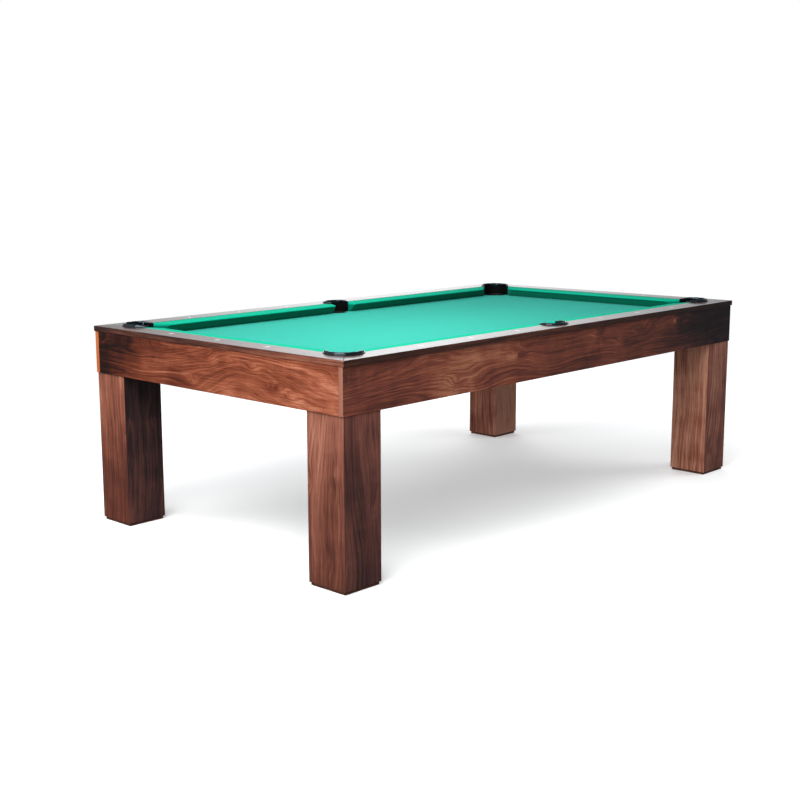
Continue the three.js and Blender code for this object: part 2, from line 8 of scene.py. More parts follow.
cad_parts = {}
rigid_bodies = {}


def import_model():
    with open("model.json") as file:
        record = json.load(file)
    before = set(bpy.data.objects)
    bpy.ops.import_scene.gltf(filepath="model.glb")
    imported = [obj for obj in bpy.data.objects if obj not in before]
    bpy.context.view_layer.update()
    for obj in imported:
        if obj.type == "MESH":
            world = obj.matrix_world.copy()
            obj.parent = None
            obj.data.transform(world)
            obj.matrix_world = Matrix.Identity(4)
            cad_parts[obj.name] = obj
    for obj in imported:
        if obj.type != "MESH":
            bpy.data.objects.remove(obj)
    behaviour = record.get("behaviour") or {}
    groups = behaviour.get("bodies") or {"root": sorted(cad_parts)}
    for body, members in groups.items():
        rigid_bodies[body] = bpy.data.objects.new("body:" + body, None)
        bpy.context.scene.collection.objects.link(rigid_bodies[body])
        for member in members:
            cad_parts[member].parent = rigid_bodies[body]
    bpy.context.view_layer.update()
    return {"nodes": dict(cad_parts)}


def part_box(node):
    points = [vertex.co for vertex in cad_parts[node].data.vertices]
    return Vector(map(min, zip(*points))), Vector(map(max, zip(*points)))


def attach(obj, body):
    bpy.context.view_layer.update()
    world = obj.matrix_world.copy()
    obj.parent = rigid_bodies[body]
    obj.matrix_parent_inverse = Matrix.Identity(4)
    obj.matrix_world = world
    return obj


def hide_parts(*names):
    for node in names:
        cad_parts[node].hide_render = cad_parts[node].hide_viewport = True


# Eight-foot pool table: the finished look of each piece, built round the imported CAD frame.
# Everything is in metres in the table's own frame: +Z up, +X from head to foot end, +Y from
# front to back, and the origin on the floor under the middle of the table.

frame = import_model()

QUARTERS = {
    "front_head": (1, 1),
    "front_foot": (-1, 1),
    "back_head": (1, -1),
    "back_foot": (-1, -1),
}
SIDES = {"front": (1, 1), "back": (1, -1)}
ENDS = {"head": (1, 1), "foot": (-1, 1)}

# ---- Dimensions, read from the frame where it has them -----------------------------------------

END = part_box("rail_head")[0].x  # outer edge of the head end
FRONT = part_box("rail_front_head")[0].y  # outer edge of the front
RAIL_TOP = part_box("rail_head")[1].z
CLOTH_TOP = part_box("bed_cloth")[1].z
SLATE_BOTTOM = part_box("slate_head")[0].z
SLATE_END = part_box("slate_head")[0].x
SLATE_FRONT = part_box("slate_head")[0].y
CUSHION_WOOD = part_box("cushion_front_head")[0].y - FRONT  # from the outer edge to the cushion
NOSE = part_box("cushion_front_head")[1].y - FRONT  # from the outer edge to its nose
CUSHION_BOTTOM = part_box("cushion_head")[0].z
CUSHION_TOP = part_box("cushion_head")[1].z
BUCKET_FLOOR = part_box("pocket_bucket_front")[0].z
BUCKET_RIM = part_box("pocket_bucket_front")[1].z

NOSE_HEIGHT = CLOTH_TOP + 0.0365
GAP = 0.0003  # left between pieces that touch
CORNER_DEPTH = 0.189  # from the outer corner to the pocket's centre, along the diagonal
CORNER = {"radius": 0.059, "arm": 0.0435, "crown": 0.0110, "mouth": 0.150, "facing": 33}
SIDE = {"radius": 0.0505, "arm": 0.0240, "crown": 0.0080, "mouth": 0.126, "facing": 76}
SIDE_DEPTH = 0.098
LINER_WALL = 0.004
FLANGE = 0.0145
TIP_HEIGHT = 0.004
BUCKET_FIELD_RIM = SLATE_BOTTOM - GAP

# ---- Node graphs -------------------------------------------------------------------------------


class Graph:
    """A material's node tree, with short ways to add nodes and feed their sockets."""

    def __init__(self, name):
        self.material = bpy.data.materials.new(name)
        self.material.use_nodes = True
        self.tree = self.material.node_tree
        self.shader = self.tree.nodes["Principled BSDF"]
        self.place = self.node("ShaderNodeTexCoord").outputs["Object"]

    def node(self, kind, inputs=None, **settings):
        made = self.tree.nodes.new(kind)
        for key, value in settings.items():
            setattr(made, key, value)
        for key, value in (inputs or {}).items():
            self.feed(made.inputs[key], value)
        return made

    def feed(self, socket, value):
        if isinstance(value, bpy.types.NodeSocket):
            self.tree.links.new(value, socket)
        else:
            socket.default_value = value

    def math(self, operation, a, b=0.0, clamp=False):
        made = self.node("ShaderNodeMath", {0: a, 1: b}, operation=operation)
        made.use_clamp = clamp
        return made.outputs[0]

    def stretched(self, vector, scale):
        return self.node("ShaderNodeVectorMath", {0: vector, 1: scale}, operation="MULTIPLY").outputs[0]

    def noise(self, vector, scale, detail=2.0, roughness=0.5, distortion=0.0):
        made = self.node("ShaderNodeTexNoise", {"Vector": self.stretched(vector, scale), "Scale": 1.0,
                                                "Detail": detail, "Roughness": roughness,
                                                "Distortion": distortion})
        return made.outputs[0]

    def centred(self, value, amount):
        """A 0 to 1 value as minus to plus half of amount."""
        return self.math("MULTIPLY", self.math("SUBTRACT", value, 0.5), amount)

    def total(self, *values):
        result = values[0]
        for value in values[1:]:
            result = self.math("ADD", result, value)
        return result

    def between(self, value, low, high, to_low=0.0, to_high=1.0):
        made = self.node("ShaderNodeMapRange", {0: value, 1: low, 2: high, 3: to_low, 4: to_high})
        made.clamp = True
        return made.outputs[0]

    def ramp(self, value, stops, interpolation="LINEAR"):
        made = self.node("ShaderNodeValToRGB", {0: value})
        made.color_ramp.interpolation = interpolation
        elements = made.color_ramp.elements
        while len(elements) < len(stops):
            elements.new(0.5)
        for element, (position, colour) in zip(elements, stops):
            element.position = position
            element.color = (*colour, 1.0)
        return made.outputs[0]

    def mix(self, factor, a, b, blend="MIX"):
        made = self.node("ShaderNodeMix", {0: factor}, data_type="RGBA", blend_type=blend)
        for index, value in ((6, a), (7, b)):
            if not isinstance(value, bpy.types.NodeSocket):
                value = (*value, 1.0)
            self.feed(made.inputs[index], value)
        return made.outputs[2]

    def bump(self, height, distance, strength=1.0):
        return self.node("ShaderNodeBump", {"Height": height, "Distance": distance,
                                            "Strength": strength}).outputs[0]

    def finish(self, **inputs):
        for name, value in inputs.items():
            self.feed(self.shader.inputs[name.replace("_", " ")], value)
        return self.material


# ---- Wood --------------------------------------------------------------------------------------

WALNUT_STOPS = [
    (0.0, (0.009, 0.003, 0.0024)),
    (0.25, (0.04, 0.0105, 0.0065)),
    (0.5, (0.14, 0.035, 0.018)),
    (0.75, (0.31, 0.096, 0.054)),
    (1.0, (0.56, 0.26, 0.15)),
]


RING_SPACING = 0.00605


def walnut(name, axes, seed, tone=0.5, swell=0.16, contrast=1.0, along=None,
           stops=WALNUT_STOPS, fade=1.0, knots=0.0, **surface):
    """Lacquered walnut. axes names the object's axes along the grain, across it and into the board. swell is
    how far, in metres, the growth rings wander, knots how far they are pushed aside round each knot and how
    strong the painted highlights on the curled figure are, and along is a tone curve down the grain: (metres,
    change) pairs, partly the wood's tone and partly painted light and shade."""
    g = Graph(name)
    split = g.node("ShaderNodeSeparateXYZ", {0: g.place})
    grain, across, deep = (split.outputs["XYZ".index(axis)] for axis in axes)
    board = g.node("ShaderNodeCombineXYZ", {0: grain, 1: across, 2: deep}).outputs[0]
    board = g.node("ShaderNodeVectorMath", {0: board, 1: seed}, operation="ADD").outputs[0]
    further = (0.012, 0.0, 0.0)
    ahead = g.node("ShaderNodeVectorMath", {0: board, 1: further}, operation="ADD").outputs[0]

    # the growth rings: the board's depth in the tree, which swells and dips along the grain
    growth = []
    for place in (board, ahead):
        slow = g.noise(place, (1.5, 4.2, 4.2), detail=1.0, roughness=0.4, distortion=0.25)
        quick = g.noise(place, (5.0, 15.0, 15.0), detail=1.5, roughness=0.4)
        cells = g.stretched(place, (5.0, 11.0, 11.0))
        knot = g.node("ShaderNodeTexVoronoi", {"Vector": cells, "Scale": 1.0})
        knot = g.math("POWER", g.between(knot.outputs[0], 0.0, 0.38, 1.0, 0.0), 2.0)
        growth.append(g.total(g.math("MULTIPLY", slow, swell), g.math("MULTIPLY", quick, swell * 0.13),
                              g.math("MULTIPLY", knot, knots)))
    slope = g.math("SUBTRACT", growth[1], growth[0])
    ring = g.math("ADD", g.math("MULTIPLY", across, 0.36), growth[0])
    seeded = g.node("ShaderNodeSeparateXYZ", {0: board})
    in_tree = g.node("ShaderNodeCombineXYZ", {0: seeded.outputs[0], 1: ring, 2: seeded.outputs[2]}).outputs[0]

    # what follows the rings: broad heartwood bands, late wood lines and fine streaks
    band = g.noise(in_tree, (0.9, 46.0, 1.0), detail=3.0, roughness=0.62)
    patch = g.noise(board, (2.2, 5.0, 5.0), detail=2.0, roughness=0.5)
    streak = g.noise(in_tree, (2.6, 250.0, 3.0), detail=4.0, roughness=0.66)
    year = g.math("FRACT", g.math("ADD", g.math("DIVIDE", ring, RING_SPACING),
                                  g.math("MULTIPLY", streak, 0.5)))
    late = g.math("POWER", year, 5.0)
    late = g.math("MULTIPLY", late, g.between(g.noise(board, (2.5, 9.0, 9.0)), 0.42, 0.62))

    # what follows the fibres: straight grain, pores and the light caught where they dip
    fibre = g.noise(board, (9.0, 430.0, 430.0), detail=3.0, roughness=0.62)
    pore = g.between(g.noise(board, (45.0, 900.0, 900.0), detail=1.0), 0.64, 0.74)
    curl = g.noise(in_tree, (24.0, 30.0, 12.0), detail=3.0, roughness=0.6, distortion=0.9)
    curl = g.between(curl, 0.48, 0.80)
    wave = g.noise(board, (11.0, 7.0, 7.0), detail=2.0, roughness=0.5)
    dip = g.math("MULTIPLY", slope, 38.0)
    lit = g.math("MULTIPLY", curl, g.between(g.noise(board, (3.6, 11.0, 11.0), detail=1.0), 0.50, 0.66))

    value = g.total(
        g.centred(band, 0.52 * contrast),
        g.centred(patch, 0.50 * contrast),
        g.centred(wave, 0.28 * contrast),
        g.centred(streak, 0.80 * contrast),
        g.centred(fibre, 0.68 * contrast),
        g.math("MULTIPLY", late, -0.20 * contrast),
        g.math("MULTIPLY", g.math("MAXIMUM", g.math("MINIMUM", dip, 0.22), -0.14), contrast),
        g.math("MULTIPLY", lit, 6.0 * knots),
        g.math("MULTIPLY", pore, -0.10),
    )
    if along:
        low, high = along[0][0], along[-1][0]
        curve = [((m - low) / (high - low), (0.5 + change,) * 3) for m, change in along]
        change = g.ramp(g.between(grain, low, high), curve, "CARDINAL")
        value = g.math("ADD", value, g.math("SUBTRACT", change, 0.5))
    value = g.math("ADD", value, tone, clamp=True)
    colour = g.ramp(value, stops)
    if fade < 1.0:
        colour = g.node("ShaderNodeHueSaturation", {"Saturation": fade, "Color": colour}).outputs[0]

    height = g.total(g.math("MULTIPLY", fibre, 0.6), g.math("MULTIPLY", pore, -1.2),
                     g.math("MULTIPLY", late, 0.3))
    finish = {"rough": 0.40, "coat": 0.0, "shine": 0.16, "bump": 0.00010} | surface
    roughness = g.total(g.centred(streak, 0.14), g.math("MULTIPLY", pore, 0.12), finish["rough"])
    return g.finish(Base_Color=colour, Roughness=roughness, Specular_IOR_Level=finish["shine"],
                    Normal=g.bump(height, finish["bump"], 0.5),
                    Coat_Weight=finish["coat"], Coat_Roughness=0.10)


def plywood(name, axes, seed):
    """Birch plywood beam: plain broad faces, and the plies as stripes on its edges."""
    g = Graph(name)
    split = g.node("ShaderNodeSeparateXYZ", {0: g.place})
    picked = [split.outputs["XYZ".index(axis)] for axis in axes]
    board = g.node("ShaderNodeCombineXYZ", {0: picked[0], 1: picked[1], 2: picked[2]}).outputs[0]
    board = g.node("ShaderNodeVectorMath", {0: board, 1: seed}, operation="ADD").outputs[0]
    deep = g.node("ShaderNodeSeparateXYZ", {0: board}).outputs[2]
    ply = g.math("SINE", g.math("MULTIPLY", deep, 2 * math.pi / 0.0045))
    ply = g.between(ply, -0.25, 0.25)
    grain = g.noise(board, (5.0, 90.0, 300.0), detail=3.0, roughness=0.6)
    patch = g.noise(board, (2.0, 6.0, 6.0), detail=2.0)
    value = g.total(g.math("MULTIPLY", ply, 0.26), g.centred(grain, 0.45), g.centred(patch, 0.3),
                    0.38)
    colour = g.ramp(value, [(0.0, (0.16, 0.085, 0.038)), (0.5, (0.42, 0.27, 0.14)),
                            (1.0, (0.62, 0.45, 0.27))])
    return g.finish(Base_Color=colour, Roughness=g.math("ADD", g.centred(grain, 0.15), 0.72),
                    Normal=g.bump(g.total(grain, g.math("MULTIPLY", ply, 0.25)), 0.0003, 0.5))


# ---- Cloth, stone, plastic and metal -----------------------------------------------------------


def baize(name, light, dark, shade_under=None):
    """Worsted billiard cloth: a fine twill under a short nap. Below the height shade_under the colour is
    darkened: painted shade under the cushion's nose."""
    g = Graph(name)
    split = g.node("ShaderNodeSeparateXYZ", {0: g.place})
    thread = 2 * math.pi / 0.0011
    x, y, z = (g.math("MULTIPLY", split.outputs[i], thread) for i in range(3))
    rise = g.math("ADD", z, g.math("MULTIPLY", x, 0.5))
    twill = g.math("SINE", g.total(x, y, rise))
    cross = g.math("MULTIPLY", g.math("SINE", g.math("SUBTRACT", x, y)), 0.5)
    weave = g.math("ADD", twill, cross)
    nap = g.noise(g.place, (900.0, 900.0, 900.0), detail=2.0)
    tuft = g.noise(g.place, (140.0, 140.0, 140.0), detail=3.0, roughness=0.6)
    brushed = g.noise(g.place, (1.1, 2.6, 2.6), detail=3.0, roughness=0.55)
    value = g.total(g.math("MULTIPLY", weave, 0.07), g.centred(nap, 0.34), g.centred(tuft, 0.22),
                    g.centred(brushed, 0.30), 0.5)
    colour = g.ramp(value, [(0.0, dark), (1.0, light)])
    if shade_under:
        # painted shade: below the nose the cloth is darkened to 0.40 of its colour, where the undercut lies
        # in shade
        painted_undercut_shade = g.between(split.outputs[2], shade_under - 0.006, shade_under, 0.40, 1.0)
        colour = g.mix(1.0, colour, g.node("ShaderNodeCombineXYZ", {0: painted_undercut_shade, 1: painted_undercut_shade, 2: painted_undercut_shade}).outputs[0],
                       blend="MULTIPLY")
    height = g.total(g.math("MULTIPLY", weave, 0.35), g.math("MULTIPLY", nap, 0.9),
                     g.math("MULTIPLY", tuft, 0.5))
    return g.finish(Base_Color=colour, Roughness=g.math("ADD", g.centred(tuft, 0.1), 0.92),
                    Normal=g.bump(height, 0.00022, 0.6), Sheen_Weight=0.03, Sheen_Roughness=0.45,
                    Sheen_Tint=(0.55, 1.0, 0.9, 1.0), Specular_IOR_Level=0.03)


def slate_stone(name):
    g = Graph(name)
    cleft = g.noise(g.place, (14.0, 14.0, 120.0), detail=6.0, roughness=0.62)
    fleck = g.noise(g.place, (420.0, 420.0, 420.0), detail=2.0)
    vein = g.between(g.noise(g.place, (3.0, 9.0, 30.0), detail=4.0, distortion=0.8), 0.62, 0.7)
    value = g.total(g.centred(cleft, 0.8), g.centred(fleck, 0.35), g.math("MULTIPLY", vein, 0.2), 0.45)
    colour = g.ramp(value, [(0.0, (0.030, 0.034, 0.038)), (0.6, (0.085, 0.092, 0.098)),
                            (1.0, (0.17, 0.175, 0.18))])
    return g.finish(Base_Color=colour, Roughness=g.math("ADD", g.centred(fleck, 0.2), 0.8),
                    Normal=g.bump(g.math("ADD", cleft, g.math("MULTIPLY", fleck, 0.2)), 0.0009, 0.6))


def gloss_black(name):
    """Glossy black moulding with a little orange peel and fine wear."""
    g = Graph(name)
    peel = g.noise(g.place, (260.0, 260.0, 260.0), detail=1.5)
    scuff = g.noise(g.place, (45.0, 45.0, 45.0), detail=5.0, roughness=0.7)
    mark = g.between(scuff, 0.60, 0.78)
    colour = g.ramp(scuff, [(0.3, (0.0006, 0.0011, 0.0016)), (0.7, (0.0020, 0.0030, 0.0040))])
    return g.finish(Base_Color=colour, Roughness=g.math("ADD", g.math("MULTIPLY", mark, 0.12), 0.05),
                    Normal=g.bump(peel, 0.00004, 0.3), IOR=1.45,
                    Specular_Tint=(0.66, 0.84, 1.0, 1.0))


def moulded(name, colour, shine):
    """Moulded plastic with a pebbled grain."""
    g = Graph(name)
    pebble = g.node("ShaderNodeTexVoronoi", {"Vector": g.place, "Scale": 650.0}).outputs[0]
    dust = g.noise(g.place, (70.0, 70.0, 70.0), detail=4.0, roughness=0.65)
    colour = g.ramp(dust, [(0.3, [0.6 * c for c in colour]), (0.75, [1.5 * c for c in colour])])
    return g.finish(Base_Color=colour, Roughness=g.math("ADD", g.centred(dust, 0.2), 0.55),
                    Normal=g.bump(pebble, 0.00015, 0.5), Specular_IOR_Level=shine)


def steel(name):
    """Zinc-plated steel, brushed by handling."""
    g = Graph(name)
    brush = g.noise(g.place, (40.0, 900.0, 900.0), detail=2.0)
    cloud = g.noise(g.place, (38.0, 38.0, 38.0), detail=4.0)
    colour = g.ramp(cloud, [(0.3, (0.36, 0.37, 0.37)), (0.7, (0.62, 0.62, 0.60))])
    return g.finish(Base_Color=colour, Metallic=1.0, Normal=g.bump(brush, 0.0001, 0.4),
                    Roughness=g.total(g.centred(brush, 0.2), g.centred(cloud, 0.2), 0.36))


def pearl(name):
    """White sight material with a faint mottle."""
    g = Graph(name)
    swirl = g.noise(g.place, (160.0, 160.0, 160.0), detail=3.0, distortion=1.2)
    colour = g.ramp(swirl, [(0.3, (0.66, 0.66, 0.64)), (0.55, (0.82, 0.80, 0.80)),
                            (0.75, (0.90, 0.91, 0.92))])
    return g.finish(Base_Color=colour, Roughness=g.math("ADD", g.centred(swirl, 0.1), 0.22),
                    Coat_Weight=0.6, Coat_Roughness=0.08)


WARM_STOPS = [
    (0.0, (0.01, 0.003, 0.0022)),
    (0.25, (0.042, 0.009, 0.0052)),
    (0.5, (0.14, 0.03, 0.013)),
    (0.75, (0.31, 0.086, 0.042)),
    (1.0, (0.58, 0.245, 0.145)),
]
COOL_STOPS = [
    (0.0, (0.012, 0.0085, 0.011)),
    (0.25, (0.04, 0.019, 0.0205)),
    (0.5, (0.145, 0.044, 0.032)),
    (0.75, (0.33, 0.09, 0.053)),
    (1.0, (0.58, 0.225, 0.125)),
]
BAND_STOPS = [
    (0.0, (0.11, 0.035, 0.022)),
    (0.5, (0.26, 0.096, 0.064)),
    (1.0, (0.43, 0.2, 0.14)),
]
ORANGE_STOPS = [
    (0.0, (0.26, 0.052, 0.012)),
    (0.5, (0.52, 0.135, 0.035)),
    (1.0, (0.7, 0.26, 0.09)),
]
RAIL_STOPS = [
    (0.0, (0.006, 0.004, 0.004)),
    (0.3, (0.018, 0.009, 0.008)),
    (0.55, (0.06, 0.022, 0.015)),
    (0.8, (0.15, 0.048, 0.03)),
    (1.0, (0.28, 0.1, 0.062)),
]

# how light each leg's head face and front face are, at four heights from the floor up: partly the wood's
# tone, partly painted light and shade on each face and down each leg
LEG_HEIGHTS = (0.02, 0.20, 0.40, 0.61)
LEG_LIGHT_AND_TONE = {
    "front_head": ((0.42, 0.43, 0.57, 0.72), (0.46, 0.475, 0.475, 0.61)),
    "front_foot": ((0.90, 0.89, 0.93, 1.00), (0.69, 0.74, 0.77, 0.80)),
    "back_head": ((0.42, 0.45, 0.61, 0.73), (0.35, 0.30, 0.26, 0.22)),
    "back_foot": ((0.70, 0.68, 0.75, 0.72), (1.14, 0.97, 1.00, 0.97)),
}

M = {
    # The along curves on the aprons and rail edges are partly the wood's tone and partly painted light and
    # shade: lighter towards the front and the head end, darker away from them.
    "apron_front": walnut("walnut_apron_front", "XZY", (3.1, 0.4, 1.0), tone=0.55, swell=0.10,
                          stops=COOL_STOPS, knots=0.026,
                          along=[(-1.28, 0.12), (-0.95, 0.12), (-0.5, 0.30), (-0.2, 0.14),
                                 (0.3, 0.04), (0.6, 0.02), (0.95, -0.24), (1.28, -0.46)]),
    "apron_head": walnut("walnut_apron_head", "YZX", (7.3, 2.2, 4.0), tone=0.56, swell=0.11,
                         stops=WARM_STOPS, knots=0.015, shine=0.12,
                         along=[(-0.72, 0.06), (-0.27, 0.09), (0.0, -0.04), (0.27, 0.0),
                                (0.45, -0.13), (0.62, -0.40), (0.72, -0.46)]),
    "band_front": walnut("walnut_edge_band", "ZYX", (1.0, 5.0, 2.0), tone=0.55, swell=0.03,
                         stops=BAND_STOPS, contrast=0.8),
    # the back apron's end bands are painted lighter and more orange than the front apron's, as if more
    # strongly lit: painted light
    "band_back": walnut("walnut_edge_band_painted_lit", "ZYX", (4.0, 7.0, 2.0), tone=0.50, swell=0.03,
                        stops=ORANGE_STOPS, contrast=0.8),
    "rail_top_x": walnut("walnut_rail_top_side", "XYZ", (2.0, 8.0, 5.0), tone=0.5, swell=0.05,
                         stops=RAIL_STOPS, rough=0.34, shine=0.5, coat=0.58),
    "rail_top_y": walnut("walnut_rail_top_end", "YXZ", (6.0, 3.0, 9.0), tone=0.5, swell=0.05,
                         stops=RAIL_STOPS, rough=0.34, shine=0.5, coat=0.30),
    "rail_top_foot": walnut("walnut_rail_top_foot", "YXZ", (1.0, 5.0, 2.0), tone=0.5, swell=0.05,
                            stops=RAIL_STOPS, rough=0.34, shine=0.5, coat=0.62),
    "rail_edge_x": walnut("walnut_rail_edge_side", "XZY", (5.0, 1.0, 7.0), tone=0.45, swell=0.03,
                          stops=RAIL_STOPS, shine=0.25,
                          along=[(-1.28, 0.12), (-0.8, 0.15), (-0.48, 0.26), (-0.16, 0.15),
                                 (0.16, 0.03), (0.48, -0.02), (0.8, -0.12), (1.28, -0.2)]),
    "rail_edge_y": walnut("walnut_rail_edge_end", "YZX", (8.0, 4.0, 6.0), tone=0.54, swell=0.03,
                          stops=RAIL_STOPS, shine=0.12,
                          along=[(-0.72, 0.45), (-0.45, 0.36), (-0.27, 0.17), (-0.09, -0.02),
                                 (0.09, -0.07), (0.27, -0.07), (0.45, -0.06), (0.72, -0.24)]),
    "ply_x": plywood("plywood_side", "XZY", (1.0, 2.0, 0.0)),
    "ply_y": plywood("plywood_end", "YZX", (2.0, 5.0, 0.0)),
    "slate": slate_stone("slate"),
    "bed": baize("bed_cloth_green", (0.042, 0.365, 0.292), (0.014, 0.250, 0.194)),
    "cushion": baize("cushion_cloth_green", (0.003, 0.385, 0.245), (0.001, 0.265, 0.160),
                     shade_under=NOSE_HEIGHT),
    "casting": gloss_black("casting_gloss_black"),
    "liner": moulded("liner_matt_black", (0.0032, 0.0032, 0.0034), shine=0.04),
    "bucket": moulded("bucket_moulded_black", (0.010, 0.010, 0.010), shine=0.2),
    "foot": moulded("foot_moulded_brown", (0.110, 0.042, 0.025), shine=0.15),
    "steel": steel("zinc_steel"),
    "pearl": pearl("sight_pearl"),
}


def leg_wood(name, axes, seed, tones, **settings):
    """Upright walnut that is as light as tones says at each of LEG_HEIGHTS."""
    middle = sum(tones) / len(tones)
    along = [(height, tone - middle) for height, tone in zip(LEG_HEIGHTS, tones)]
    return walnut(name, axes, seed, tone=middle, along=along, knots=0.010, **settings)


# each leg's head faces and front faces get separate copies of one walnut, made lighter or darker by painted
# light and shade
for number, (place, (end_tones, side_tones)) in enumerate(LEG_LIGHT_AND_TONE.items()):
    seed = 1.7 * number
    contrast = 0.8 if place.endswith("head") else 1.15
    M[f"leg_end_{place}"] = leg_wood(f"walnut_leg_{place}_end", "ZYX", (9.2 + seed, 1.7, 3.0),
                                     end_tones, swell=0.045, fade=0.93, contrast=contrast,
                                     stops=WALNUT_STOPS if place == "front_head" else WARM_STOPS)
    M[f"leg_side_{place}"] = leg_wood(f"walnut_leg_{place}_side", "ZXY", (4.4 + seed, 6.1, 8.0),
                                      side_tones, swell=0.055, fade=0.90, contrast=contrast,
                                      stops=COOL_STOPS)

# ---- Mesh helpers ------------------------------------------------------------------------------


def new_piece(name, bm, materials, body):
    bmesh.ops.recalc_face_normals(bm, faces=bm.faces)
    mesh = bpy.data.meshes.new(name)
    bm.to_mesh(mesh)
    bm.free()
    mesh.polygons.foreach_set("use_smooth", [True] * len(mesh.polygons))
    piece = bpy.data.objects.new(name, mesh)
    bpy.context.scene.collection.objects.link(piece)
    for material in materials:
        mesh.materials.append(material)
    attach(piece, body)
    return piece


def flat_faces(piece):
    """Shade large faces flat and let only the small ones round off."""
    flat = piece.modifiers.new("flat_faces", "WEIGHTED_NORMAL")
    flat.keep_sharp = True


def bevelled(piece, width, segments):
    bevel = piece.modifiers.new("eased_edges", "BEVEL")
    bevel.width = width
    bevel.segments = segments
    bevel.limit_method = "ANGLE"
    bevel.angle_limit = math.radians(40)
    flat_faces(piece)
    return piece


def eased(node, width, materials, body="table", pick=None, segments=3):
    """A piece with the CAD node's shape, its edges eased. pick gives a face's material by the
    axis that its normal lies along."""
    bm = bmesh.new()
    bm.from_mesh(frame["nodes"][node].data)
    bmesh.ops.remove_doubles(bm, verts=bm.verts, dist=1e-5)
    bmesh.ops.dissolve_limit(bm, angle_limit=math.radians(1), verts=bm.verts, edges=bm.edges)
    for face in bm.faces:
        face.normal_update()
        axis = max(range(3), key=lambda i: abs(face.normal[i]))
        face.material_index = pick[axis] if pick else 0
    piece = new_piece(f"{node}_finish", bm, materials, body)
    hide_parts(node)
    return bevelled(piece, width, segments)


def circle(x, y, z, radius, steps):
    return [(x + radius * math.cos(2 * math.pi * k / steps),
             y + radius * math.sin(2 * math.pi * k / steps), z) for k in range(steps)]


def join_rings(bm, rings):
    """Faces between each ring of vertices and the next."""
    for a, b in zip(rings, rings[1:]):
        for k in range(len(a)):
            j = (k + 1) % len(a)
            bm.faces.new((a[k], a[j], b[j], b[k]))


def loft(rings, closed=False, caps=False):
    """A mesh through rings of points. Each ring is closed on itself, and closed joins the last
    ring to the first."""
    bm = bmesh.new()
    made = [[bm.verts.new(p) for p in ring] for ring in rings]
    join_rings(bm, made + made[:1] if closed else made)
    if caps:
        bm.faces.new(made[0])
        bm.faces.new(list(reversed(made[-1])))
    return bm


def at_corner(signs):
    """From a pocket's own frame, +Y towards the field, to its corner of the table."""
    along = CORNER_DEPTH / math.sqrt(2)
    place = Matrix.Translation((END + along, FRONT + along, 0)) @ Matrix.Rotation(-math.pi / 4, 4, "Z")
    return Matrix.Diagonal((*signs, 1, 1)) @ place


def at_side(signs):
    return Matrix.Diagonal((*signs, 1, 1)) @ Matrix.Translation((0, FRONT + SIDE_DEPTH, 0))


def smoothstep(low, high, value):
    t = min(1.0, max(0.0, (value - low) / (high - low)))
    return t * t * (3 - 2 * t)


# ---- Rails, aprons, legs -----------------------------------------------------------------------

for place in QUARTERS:
    eased(f"rail_{place}", 0.0016, [M["rail_edge_y"], M["rail_edge_x"], M["rail_top_x"]],
          pick=(0, 1, 2))
    eased(f"leg_{place}", 0.0014, [M[f"leg_end_{place}"], M[f"leg_side_{place}"]],
          pick=(0, 1, 1))
for place, top in (("head", "rail_top_y"), ("foot", "rail_top_foot")):
    eased(f"rail_{place}", 0.0016, [M["rail_edge_y"], M["rail_edge_x"], M[top]],
          pick=(0, 1, 2))
    eased(f"apron_{place}", 0.0008, [M["apron_head"]])
for place in SIDES:
    eased(f"apron_{place}", 0.0008, [M[f"band_{place}"], M["apron_front"]],
          pick=(0, 1, 1))

# Sights: white diamonds let into the rail tops, square to the edge

SIGHT_IN = 0.058
SIGHT_LONG = 0.0155
SIGHT_WIDE = 0.0065
SIGHT_STEP = 0.2794


def sight(name, x, y, along_x):
    outline = [(SIGHT_LONG, 0), (0, SIGHT_WIDE), (-SIGHT_LONG, 0), (0, -SIGHT_WIDE)]
    if not along_x:
        outline = [(v, u) for u, v in outline]
    rings = []
    for scale, height in ((1.0, -0.0012), (1.0, 0.0001), (0.96, 0.00022)):
        rings.append([(x + u * scale, y + v * scale, RAIL_TOP + height) for u, v in outline])
    new_piece(name, loft(rings, caps=True), [M["pearl"]], "table")


for place, (_, sign_y) in SIDES.items():
    for k in range(1, 4):
        for end in (-1, 1):
            x = end * (-END - NOSE - SIGHT_STEP * k)
            sight(f"sight_{place}_{'foot' if end > 0 else 'head'}_{k}", x,
                  sign_y * (FRONT + SIGHT_IN), False)
for place, (sign_x, _) in ENDS.items():
    for k in (-1, 0, 1):
        sight(f"sight_{place}_{k + 2}", sign_x * (END + SIGHT_IN), SIGHT_STEP * k, True)

# ---- Cushions ----------------------------------------------------------------------------------

# The section: at each distance from the wood, the height of the top and of the underside
CUSHION_DEEP = NOSE - CUSHION_WOOD
NOSE_TOP = NOSE_HEIGHT + 0.0036
CUSHION_FOOT = 0.038
END_ROUND = 0.0035


